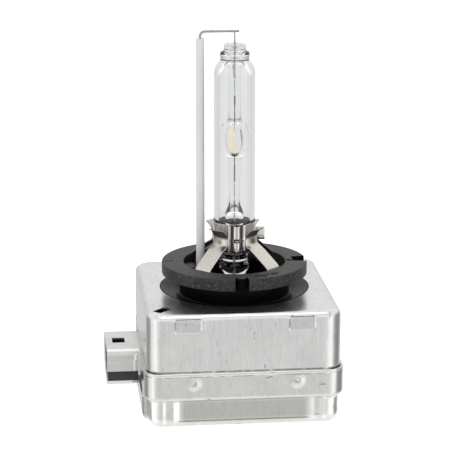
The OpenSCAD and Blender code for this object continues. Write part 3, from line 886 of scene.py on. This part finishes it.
def make_envelope():
    """Outer tube, fused solid at both ends round the burner's stems."""
    outer = [(0.001, -9.5), (1.3, -9.5), (1.3, -3.95), (1.9, -3.6), (2.5, -3.05), (2.95, -2.4),
             (3.3, -1.6), (3.4, -0.95), (3.34, -0.4), (3.0, 0.05), (2.7, 0.28), (2.88, 0.42),
             (3.12, 0.8), (3.15, 1.15), (3.08, 1.5), (2.8, 1.8), (2.72, 1.88), (3.4, 2.02),
             (4.0, 2.2), (4.4, 2.65), (4.5, 3.3),
             (4.5, 22), (4.5, 41.6), (4.46, 42.2), (4.36, 42.8), (4.16, 43.35), (3.86, 43.85),
             (3.5, 44.2), (3.26, 44.5), (3.13, 44.9), (3.22, 46.1), (3.06, 46.45), (2.6, 46.6),
             (2.42, 46.75), (2.42, 47.6), (2.38, 47.95), (2.25, 48.08), (1.6, 48.08),
             (1.42, 47.95), (1.36, 47.5), (1.34, 46.75), (1.15, 46.6), (0.001, 46.6)]
    soft = {i: 0.5 for i in range(3, 28)} | {i: 0.12 for i in range(10, 18)} | {
        i: 0.15 for i in range(28, 42)}
    verts, faces = turned(outer, soft, 4, 160, False)
    inner = [(0.001, 43.9), (1.42, 43.9), (1.7, 43.7), (2.5, 43.1), (3.1, 42.3), (3.42, 41.5),
             (3.5, 40.8), (3.5, 22), (3.5, 4.0), (3.4, 3.2), (3.0, 2.6), (2.4, 2.2), (2.1, 2.12),
             (0.001, 2.12)]
    hollows = [turned(inner, {i: 0.4 for i in range(2, 12)}, 4, 160, False)]
    pocket = [(0.5, 45.62), (0.9, 45.4), (1.5, 45.22), (2.95, 45.2), (3.05, 45.6),
              (2.95, 46.02), (1.5, 46.0), (0.9, 45.85)]
    hollows.append(turned(pocket, 0.12, 3, 128))
    for more, more_faces in hollows:
        faces += shifted(more_faces, len(verts))
        verts += more

    def inwards(bm):
        for f in bm.faces:
            c = f.calc_center_median() / MM
            r = c.xy.length
            if abs(c.z - POCKET_Z) < 0.5 and r < 3.1:
                off = 1 - POCKET_R / r
                out = f.normal.dot(Vector((c.x * off, c.y * off, c.z - POCKET_Z)))
            elif 2.11 < c.z < 43.91 and r < (3.56 if c.z < 43.2 else 3.3):
                out = f.normal.dot(Vector((c.x, c.y, (c.z - 23) * 0.25)))
            else:
                continue
            if out > 0:
                f.normal_flip()

    piece("envelope", verts, faces, "quartz", ("outer_bulb",), 60, edit=inwards)


# centre and half height of the chamber, then radius and half height of the cavity
CHAMBER, CHAMBER_HALF, CAVITY, CAVITY_HALF = 27.4, 3.83, 1.75, 3.2


def make_burner():
    """Arc tube: hollow foot, sealed stems with slight waves, and the chamber."""
    foot = [(0.001, 11.0), (0.5, 10.95), (0.95, 10.75), (1.3, 10.3), (1.45, 9.6), (1.42, 8.9),
            (1.2, 8.6), (1.42, 8.3), (1.45, 2.2)]
    outer = foot + [(2.05, 2.2), (2.05, 10.2), (1.98, 10.8), (1.82, 11.4), (1.58, 11.95),
                    (1.34, 12.5), (1.18, 13.1), (1.12, 13.7)]
    outer += [(r, z) for z, r in (
        (14.4, 1.2), (15.2, 1.13), (15.9, 1.27), (16.8, 1.2), (17.6, 1.32), (18.6, 1.26),
        (19.6, 1.36), (20.8, 1.31), (21.7, 1.34), (22.35, 1.38), (22.85, 1.45), (23.22, 1.56),
        (23.48, 1.72))]
    for k in range(1, 12):
        t = radians(-90 + 15 * k)
        outer.append((1.36 + 1.84 * max(cos(t), 0) ** 0.75, CHAMBER + CHAMBER_HALF * sin(t)))
    outer += [(r, z) for z, r in (
        (31.32, 1.72), (31.58, 1.56), (31.95, 1.45), (32.45, 1.38), (33.2, 1.34), (34.2, 1.36),
        (35.6, 1.30), (37, 1.34), (38.4, 1.30), (39.8, 1.33), (41.2, 1.30), (43, 1.3),
        (43.86, 1.3), (43.86, 0.001))]
    n_foot = len(foot)
    soft = {i: 0.35 for i in range(1, len(outer) - 2) if i not in (n_foot - 1, n_foot)}
    verts, faces = turned(outer, soft, 3, 112, False)
    cavity = []
    for k in range(25):
        t = radians(-90 + 7.5 * k)
        cavity.append((max(CAVITY * max(cos(t), 0) ** 0.8, 0.001),
                       CHAMBER + CAVITY_HALF * sin(t)))
    more, more_faces = lathe(cavity, 96, False)
    faces += shifted(more_faces, len(verts))
    verts += more

    def inwards(bm):
        for f in bm.faces:
            c = f.calc_center_median() / MM - Vector((0, 0, CHAMBER))
            inside = c.xy.length < CAVITY + 0.1 and abs(c.z) < CAVITY_HALF + 0.05
            if inside and f.normal.dot(c) > 0:
                f.normal_flip()

    piece("burner_tube", verts, faces, "quartz_in", ("arc_tube",), 60, edit=inwards)


make_envelope()
make_burner()


def caps(rows, cols):
    """Faces that close the first and the last row."""
    return [tuple(range(cols))[::-1], tuple(range((rows - 1) * cols, rows * cols))]


def make_rod(name, points, radii, mat, replaces, segs=24):
    """A round rod or wire along a list of points, with a radius for each."""
    pts = [Vector(p) for p in points]
    verts = []
    side = None
    for i, p in enumerate(pts):
        ahead = (pts[min(i + 1, len(pts) - 1)] - pts[max(i - 1, 0)]).normalized()
        if side is None:
            side = ahead.cross(Vector((0, 1, 0.01))).normalized()
        side = (side - ahead * side.dot(ahead)).normalized()
        other = ahead.cross(side)
        for k in range(segs):
            t = 2 * pi * k / segs
            verts.append(p + (side * cos(t) + other * sin(t)) * radii[i])
    faces = grid_faces(len(pts), segs, False) + caps(len(pts), segs)
    piece(name, verts, faces, mat, replaces, 40)


def make_upright(name, stops, mat, node):
    """A rod up the axis, from stops of z, radius and how far it strays in X."""
    make_rod(name, [(x, 0, z) for z, _, x in stops], [r for _, r, _ in stops], mat, (node,))


def make_foil(name, z0, z1, replaces):
    """Foil with a lens-shaped section, seen edge-on from the front."""
    verts = []
    rows = 28
    for i in range(rows + 1):
        t = i / rows
        z = z0 + (z1 - z0) * t
        half = 0.60 * min(1, 0.25 + 3 * min(t, 1 - t))
        bow = 0.02 * sin(t * 9.0)
        for y, x in ((-1, 0), (-0.5, 0.018), (0, 0.022), (0.5, 0.018), (1, 0), (0.5, -0.018),
                     (0, -0.022), (-0.5, -0.018)):
            verts.append((x + bow * 0.5, y * half, z))
    faces = grid_faces(rows + 1, 8, False) + caps(rows + 1, 8)
    piece(name, verts, faces, "foil", replaces, 30)


# electrodes, foils and leads inside the stems
make_upright("electrode_low", [(17.9, 0.11, 0), (21.6, 0.11, 0), (21.9, 0.08, 0),
                               (24.9, 0.09, 0), (24.98, 0.06, 0)], "tungsten", "lower_electrode")
make_upright("electrode_high", [(37.0, 0.07, 0), (36.8, 0.13, 0), (35.1, 0.13, 0),
                                (34.8, 0.08, 0), (29.26, 0.09, 0), (29.18, 0.06, 0)],
             "tungsten", "upper_electrode")
make_foil("foil_low", 13.8, 17.9, ("lower_foil",))
make_foil("foil_high", 37.0, 41.0, ("upper_foil",))
make_upright("lead_low", [(-13, 0.21, 0), (0, 0.21, 0), (10.4, 0.21, 0), (10.9, 0.12, 0),
                          (12.2, 0.10, 0), (12.6, 0.20, 0.05), (13.1, 0.12, -0.04),
                          (13.5, 0.19, 0.03), (13.8, 0.05, 0)], "lead", "lower_lead")
# the lead's end in the upper stem is lumpy where the foil is welded to it
make_upright("lead_high", [(41.0, 0.10, -0.01), (41.25, 0.20, 0.0), (41.6, 0.13, -0.05),
                           (42.0, 0.18, -0.04), (42.4, 0.12, -0.08), (42.9, 0.19, -0.09),
                           (43.3, 0.24, -0.11), (43.7, 0.20, -0.08), (44.2, 0.24, -0.10),
                           (44.5, 0.13, -0.04), (45.4, 0.10, 0.0), (46.6, 0.15, 0.0),
                           (47.6, 0.2, 0.0), (48.2, 0.21, -0.02), (50.6, 0.21, -0.08)],
             "lead", "upper_lead")


def make_salts():
    """Salts: a pool in the lower end and a thin film up one side of the chamber's wall."""
    verts = []
    rows, cols = 12, 40
    for i in range(rows + 1):
        t = radians(-88 + 25 * i / rows)
        for k in range(cols):
            a = 2 * pi * k / cols
            r = (CAVITY - 0.04) * cos(t) ** 0.8
            verts.append((r * cos(a), r * sin(a), CHAMBER + (CAVITY_HALF - 0.03) * sin(t)))
    for scale, drop in ((0.6, 0.10), (0.25, 0.16)):
        for k in range(cols):
            x, y, z = verts[rows * cols + k]
            verts.append((x * scale, y * scale, z - drop))
    faces = grid_faces(rows + 3, cols, False) + caps(rows + 3, cols)
    piece("salts", verts, faces, "salts", ("salt_pool",), 60)
    make_film("salt_film", "film", -137, 58, -70, 76)
    make_film("salt_streak", "residue", -50, 4.0, -40, 42)


def make_film(name, mat, mid, half, start, end):
    """A film on the chamber's inner wall; its width wavers along the chamber."""
    verts, fade = [], []
    rows, cols = 44, 36
    for depth in (0.015, 0.05):
        for i in range(rows + 1):
            u = i / rows
            t = radians(start + (end - start) * u)
            centre = mid + 3 * sin(u * 7) + 5 * (1 - u)
            wide = half * (1 + 0.10 * sin(u * 5 + 1) + 0.08 * sin(u * 13))
            for k in range(cols + 1):
                v = 2 * k / cols - 1
                a = radians(centre + wide * v)
                r = CAVITY * cos(t) ** 0.8 - depth
                verts.append((r * cos(a), r * sin(a), CHAMBER + (CAVITY_HALF - depth) * sin(t)))
                fade.append(ease(1.0, 0.55, abs(v)) * ease(0.0, 0.10, u)
                            * ease(1.0, 0.90, u))
    n = (rows + 1) * (cols + 1)
    faces = grid_faces(rows + 1, cols + 1, False, False)
    faces += [f[::-1] for f in shifted(faces, n)]
    rim = list(range(cols + 1)) + [(cols + 1) * (i + 1) - 1 for i in range(1, rows + 1)]
    rim += [rows * (cols + 1) + k for k in range(cols - 1, -1, -1)]
    rim += [(cols + 1) * i for i in range(rows - 1, 0, -1)]
    for a, b in zip(rim, rim[1:] + rim[:1]):
        faces.append((a, b, b + n, a + n))
    ob = piece(name, verts, faces, mat, (), 60, weld=False)
    store(ob, "fade", fade)


make_salts()

# -------- return wire
RETURN_X, CROSS_Z = -7.5, 50.85


def make_return():
    pts = [(RETURN_X, 0, -12.4), (RETURN_X, 0, 0), (RETURN_X, 0, 30), (RETURN_X, 0, 49.5)]
    bend = 1.05
    pts += [(RETURN_X + along, 0, CROSS_Z - bend + rise) for _, along, rise in quarter(bend, 9, 0)]
    pts += [(RETURN_X + bend + (0.95 - RETURN_X - bend) * t, 0, CROSS_Z)
            for t in (0.2, 0.5, 0.8, 1.0)]
    make_rod("return_lead", pts, [0.295] * len(pts), "wire", ("return_wire",), 28)
    verts, faces = turned([(0.37, -3.45), (0.94, -3.45), (0.94, 49.4), (0.37, 49.4)],
                          {1: 0.1, 2: 0.16, 3: 0.08}, 4, 96)
    verts = [(x + RETURN_X + wave(x, y, z, 0.05, 0.01), y, z) for x, y, z in verts]
    piece("ceramic_sleeve", verts, faces, "ceramic", ("ceramic_tube",), 40)


make_return()

# -------- clamp collar
COLLAR_TOP, COLLAR_LOW, COLLAR_R = 9.1, 3.3, 4.53
# half width of the bead at the front, in degrees, and how far it stands out
BEAD_HALF, BEAD_OUT = 9.2, 0.66


def from_top(z):
    """0 at the band's top and 1 at its foot."""
    return min(max((COLLAR_TOP - z) / (COLLAR_TOP - COLLAR_LOW), 0), 1)


def collar_radius(deg, z):
    """Inner radius of the band at an angle from the front, in degrees."""
    a = abs(deg)
    bead = BEAD_OUT * sqrt(max(0.0, 1 - (a / BEAD_HALF) ** 2)) - 0.12 * bell(a, 0.8)
    down = from_top(z)
    ridge = 0.58 * bell(a - 20.5 + down, 3.6 - 1.2 * down)
    for back_deg in (120, 240):
        ridge += 0.30 * bell(turned_by(deg, back_deg), 5.0)
    return COLLAR_R + bead + ridge


def collar_shade(x, y, z):
    """Painted shade: dark creases beside the bead and a darker band either side of the ridges."""
    deg = abs(degrees(atan2(x, -y)))
    down = from_top(z)
    crease = ease(8.9, 10.2, deg) * ease(16.6 + 0.4 * down, 15.0 + 0.4 * down, deg)
    groove = 0.75 * bell(deg, 0.7)
    side = 0.13 * ease(24.5 - 1.5 * down, 26.5 - 1.5 * down, deg)
    low = 0.4 * ease(4.6, 3.4, z) * ease(8, 9, deg)
    return min(1.0, max(crease, groove, side) + low)


def side_faces(rows, cols):
    """Closes both ends of the columns of a sheet whose rows go out on one face and back."""
    out = []
    for end in (0, cols - 1):
        for i in range(rows // 2 - 1):
            f = tuple(row * cols + end for row in (i, i + 1, rows - 2 - i, rows - 1 - i))
            out.append(f if end else f[::-1])
    return out


def make_collar():
    verts = []
    n = 600
    zs = [COLLAR_LOW, 3.42, 3.9, 4.5, 5.14, 5.24, 5.6, 6.0, 6.1, 7.0, 8.0, 8.7, 8.97, COLLAR_TOP]
    loops = [(0, z) for z in zs] + [(0.2, z) for z in reversed(zs)]
    for thick, z in loops:
        for k in range(n):
            deg = 360 * k / n
            off = (deg + 180) % 360 - 180
            flare = 0.10 * ease(8.3, COLLAR_TOP, z)
            r = collar_radius(off, z) + flare + thick
            a = radians(deg - 90)
            zz = z
            if z > 8.5:
                zz -= 0.28 * bell(off, 7.5, 4)
            if z < 3.5:
                zz += 0.08 * sin(radians(off * 3))
            verts.append((r * cos(a), r * sin(a), zz))
    ob = piece("collar_band", verts, grid_faces(len(loops), n, True), "collar",
               ("clamp_collar",), 34)
    # slit between the two halves of the bead
    cut(ob, ((0, -5.4, 5.62), (1.75, 1.3, 0.90), 0))
    store_at(ob, "soot", collar_shade)
    # lower tongue of the bead reaches past the band
    tongue = []
    rows = [(5.2, 1.0), (4.2, 1.0), (3.3, 1.0), (2.95, 0.96), (2.8, 0.85)]
    cols = 25
    for radius, steps in ((0.70, rows), (0.52, rows[::-1])):
        for z, s in steps:
            for k in range(cols):
                a = radians(-100 + 200 * k / (cols - 1))
                r = radius * s
                tongue.append((r * sin(a), -4.90 - r * cos(a) * 0.80, z))
    faces = grid_faces(len(rows) * 2, cols, True, False) + side_faces(len(rows) * 2, cols)
    ob = piece("collar_tongue", tongue, faces, "collar", (), 40)
    # painted shade down the tongue's middle and along its edges
    store_at(ob, "soot", lambda x, y, z: 0.75 * bell(x, 0.07)
               + 0.6 * ease(0.55, 0.75, abs(x)))
    # welded ear of two sheets on the right
    for k, y in enumerate((-0.27, 0.03)):
        rounded_box(f"collar_ear_{k}", (4.55, y, 4.6), (6.72, y + 0.24, 7.5), 0.07, "collar")
    button, faces = lathe([(0.001, 0.0), (0.3, 0.0), (0.36, 0.04), (0.3, 0.09), (0.12, 0.05),
                           (0.001, 0.04)], 32, False)
    piece("ear_weld", [(x + 6.0, -0.26 - z, y + 5.35) for x, y, z in button], faces, "collar",
          (), 40)


make_collar()


# -------- straps
STRAP_T, STRAP_HALF = 0.28, 2.05


def make_strap(name, deg, replaced):
    """A sprung strap: foot, flat sloping run, curved pad on the band, flared tip."""
    turn = Matrix.Rotation(radians(deg), 3, "Z")
    centre = [(10.86, -4.2), (10.86, -2.0), (10.86, -0.5), (10.78, -0.05), (10.5, 0.32),
              (10.0, 0.72), (8.5, 1.85), (7.0, 2.98), (5.9, 3.82), (5.45, 4.2), (5.15, 4.55),
              (5.03, 4.95), (5.0, 5.4), (5.01, 5.8), (5.07, 6.2), (5.2, 6.6), (5.4, 6.95),
              (5.67, 7.28), (6.0, 7.58), (6.4, 7.84), (6.92, 8.1)]
    path = rounded(centre, 0.25, 2, False)
    half = len(path)
    n = 25
    verts, soot = [], []
    for side in (-1, 1):
        for i in range(half)[::-side]:
            at_r, at_z = path[i]
            a = Vector(path[min(i + 1, half - 1)]) - Vector(path[max(i - 1, 0)])
            off = Vector((-a.y, a.x)).normalized() * (side * STRAP_T / 2)
            r, z = at_r + off.x, at_z + off.y
            curve = ease(6.6, 5.2, at_r) if at_z < 6 else 1.0
            taper = 1.0 - 0.17 * ease(6.2, 8.1, at_z)
            for k in range(n):
                u = (-STRAP_HALF + 2 * STRAP_HALF * k / (n - 1)) * taper
                w = u / r
                x = r + (r * cos(w) - r) * curve
                y = u + (r * sin(w) - u) * curve
                zz = z
                if at_z > 7.0:
                    zz += 0.10 * (u / STRAP_HALF) ** 2 * ease(7.0, 8.1, at_z)
                verts.append(turn @ Vector((x, y, zz)))
                # painted shade: dark on the flare's outer face, a little darker on the rest of the
                # flare
                shaded_face = side == -1 and (at_r < 5.6 or at_z > 6)
                soot.append(ease(5.8, 6.6, at_z) if shaded_face else 0.2 * ease(6.1, 7.6, at_z))
    faces = grid_faces(2 * half, n, True, False) + side_faces(2 * half, n)
    ob = piece(name, verts, faces, "strap", (replaced,), 32, weld=False)
    store(ob, "soot", soot)
    bevel = ob.modifiers.new("edge", "BEVEL")
    bevel.width, bevel.segments, bevel.limit_method = 0.05 * MM, 2, "ANGLE"
    bevel.angle_limit = radians(50)


for label, deg in (("front_left", -135), ("front_right", -45), ("rear_left", 135),
                   ("rear_right", 45)):
    make_strap("strap_" + label, deg, "leg_" + label)


# -------- connector
# the shroud's mouth, then its section
PX, PY0, PY1, PZ0, PZ1 = -28.5, -2.0, 13.0, -27.85, -19.35


def plug_rows(name, rows, rc, mat, replaces):
    """Rows of (x, inset) along X round the connector's section; closed as one loop."""
    hy, hz = (PY1 - PY0) / 2, (PZ1 - PZ0) / 2
    cy, cz = (PY0 + PY1) / 2, (PZ0 + PZ1) / 2
    verts = []
    for x, inset in rows:
        for a, b, _, _ in rect_loop(hy - inset, hz - inset, rc - inset, 40, 24, 10):
            bow = 0.03 * noise.noise(Vector((x * 0.3, a * 0.25, b * 0.25)))
            verts.append((x, cy + a, cz + b + bow))
    return piece(name, verts, grid_faces(len(rows), len(verts) // len(rows), True), mat,
                 replaces, 38)


def make_connector():
    along = [PX + 0.35 * k for k in range(1, 26)]
    rows = [(PX + 0.08, 0.0)] + [(x, 0.0) for x in along] + [(x, 0.48) for x in reversed(along)]
    rows += [(PX + 0.04, 0.44), (PX, 0.3), (PX, 0.12)]
    ob = plug_rows("plug_shroud", rows, 1.9, "plug_metal", ("connector_shroud",))
    # latch window on top and slot in the near side
    cut(ob, ((-25.6, 4.9, PZ1), (2.8, 3.4, 2), 0), ((-25.3, PY0, -25.5), (8.4, 1.6, 2.2), 0))
    # the slot's step, cut by itself because overlapping boxes in one cut fail
    cut(ob, ((-22.0, PY0, -26.8), (1.8, 1.6, 0.8), 0))
    # folded flare where the shroud meets the wall
    verts = []
    for k in range(14):
        t = k / 13
        z = -20.3 + (-24.4 + 20.3) * t
        lean = 0.5 * t
        for x, y in ((-22.6, -2.02), (-22.0, -2.06), (-21.7, -2.3), (-21.5, -2.9), (-21.45, -3.9),
                     (-21.45, -4.6)):
            verts.append((x - lean * 0.15, y - (lean if y < -2.2 else 0), z))
    flare = piece("plug_flare", verts, grid_faces(14, 6, False, False), "plug_metal", (), 50)
    thick = flare.modifiers.new("thick", "SOLIDIFY")
    thick.thickness, thick.offset = 0.3 * MM, 0
    rows = [(-28.2, 0.52), (-27.0, 0.52), (-23, 0.52), (-18.6, 0.52), (-18.4, 0.52), (-18.4, 4.0),
            (-20.6, 4.0), (-20.6, 1.5), (-23.5, 1.5), (-27.9, 1.5), (-28.15, 1.4), (-28.2, 1.25)]
    ins = plug_rows("plug_insert", rows, 1.75, "insert", ("connector_insert",))
    # painted shade on the insert's top strip, under the shroud
    store_at(ins, "soot", lambda x, y, z: 1.0 if z > PZ1 - 0.8 and x > -27.9 else 0.0)
    rounded_box("plug_back", (-20.7, -0.6, -26.5), (-19.8, 11.6, -20.7), 0.15, "insert")
    # guide ribs in the socket and the raised rib along its near side
    for k, y in enumerate((2.2, 8.8)):
        rounded_box(f"plug_rib_{k}", (-28.0, y - 0.35, -26.45), (-22.0, y + 0.35, -25.9), 0.1,
                    "insert")
    rounded_box("plug_side_rib", (-28.3, -1.9, -26.55), (-21.4, -1.3, -24.45), 0.1, "insert")
    for k in range(4):
        y = 1.0 + 3 * k
        rounded_box(f"plug_pin_{k}", (-24.2, y - 0.4, -24.0), (-19.9, y + 0.4, -23.2), 0.14,
                    "pin", ("contact_pins",) if k == 0 else ())


make_connector()

# -------- hidden nodes keep their shape
for name, mat in {"hv_terminal": "brass", "return_terminal": "brass", "carrier_plate": "carrier",
                  "lead_frame": "brass", "transformer_core": "ferrite",
                  "transformer_bobbin": "bobbin", "secondary_winding": "copper",
                  "primary_winding": "strip", "spark_gap_body": "gap",
                  "spark_gap_caps": "cap_metal", "pulse_capacitor": "capacitor",
                  "bleeder_resistor": "resistor"}.items():
    ob = NODES[name]
    if not ob.material_slots:
        ob.data.materials.append(MAT[mat])
    for slot in ob.material_slots:
        slot.material = MAT[mat]


# -------- studio
FLOOR_R = 2.0
# brightness of the dome by compass direction, in degrees from the front
AROUND = ((-180, 0.80), (-150, 0.70), (-140, 0.42), (-122, 0.37), (-108, 0.38), (-100, 0.56),
          (-93, 1.08), (-84, 1.18), (-76, 1.12), (-69, 1.30), (-62, 1.46), (-54, 1.34),
          (-48, 1.08), (-41, 0.93), (-32, 0.84), (-20, 0.79), (0, 0.83), (14, 0.85),
          (27, 1.02), (36, 1.25), (48, 1.44), (62, 1.32), (68, 0.80), (76, 0.44),
          (108, 0.27), (118, 0.40), (132, 0.72), (145, 0.82), (180, 0.80))


def make_floor():
    m, nt = material("floor_pale", Roughness=0.9, Emission_Color=(1, 1, 1),
                     Emission_Strength=0.70)
    dress(m, Base_Color=ramp(noise_tex(nt, 60, 3), (0.3, 0.50), (0.7, 0.52)))
    bm = bmesh.new()
    bmesh.ops.create_circle(bm, cap_ends=True, segments=96, radius=FLOOR_R,
                            matrix=Matrix.Translation((0, 0, BOTTOM * MM - 0.00002)))
    me = bpy.data.meshes.new("floor")
    bm.to_mesh(me)
    bm.free()
    me.materials.append(m)
    floor = put("floor", me)
    # gloss and glass see the studio in place of the floor
    floor.visible_glossy = False
    floor.visible_transmission = False


def make_dome():
    """Soft light all round, set to put the metal's light and dark bands in their places."""
    world = bpy.data.worlds.new("studio")
    scene.world = world
    world.use_nodes = True
    nt = world.node_tree
    nt.nodes.clear()
    x, y, z = axes(nt, "Generated")
    turn = x.calc("ARCTAN2", x, y * -1.0) / (2 * pi) + 0.5
    around = ramp(turn, *((az / 360 + 0.5, v) for az, v in AROUND))
    level = mix(ramp(z, (0.0, 0.0), (0.25, 0.25), (0.5, 1.0)), around, 1.13)
    # a darker band high up, then a bright crown, and the light that comes from below
    level = mix(ramp(z, (0.80, 0.0), (0.85, 1.0)), level, 0.62)
    level = mix(ramp(z, (0.89, 0.0), (0.94, 1.0)), level, 1.75)
    level = mix(ramp(z * -1.0, (0.40, 0.0), (0.75, 1.0)), level, 1.15)
    # glass shows a plain grey backdrop at the height of the horizon
    drop = mix(0.22, (0.74, 0.74, 0.745), around)
    drop = mix(ramp(z, (0.3, 0.0), (0.7, 1.0)), drop, 1.35)
    path = add_node(nt, "LightPath").out.node.outputs
    level = mix(Sock(nt, path["Is Transmission Ray"]), level, drop)
    level = mix(ramp(Sock(nt, path["Diffuse Depth"]), (0.0, 0.0), (0.9, 1.0)), level, 1.28)
    level = mix(Sock(nt, path["Is Camera Ray"]), level, 1.0)
    sky = add_node(nt, "Background", {"Color": level})
    nt.links.new(sky.out, nt.nodes.new("ShaderNodeOutputWorld").inputs[0])


def make_softbox():
    data = bpy.data.lights.new("softbox_top", "AREA")
    data.shape, data.size, data.size_y, data.energy = "RECTANGLE", 300 * MM, 300 * MM, 0.25
    ob = put("softbox_top", data)
    at = Vector((-60, 40, 380))
    ob.location = at * MM
    ob.rotation_mode = "QUATERNION"
    ob.rotation_quaternion = at.to_track_quat("Z", "Y")
    # gloss sees the dome's own crown in place of the softbox
    ob.visible_glossy = False


make_floor()
make_dome()
make_softbox()
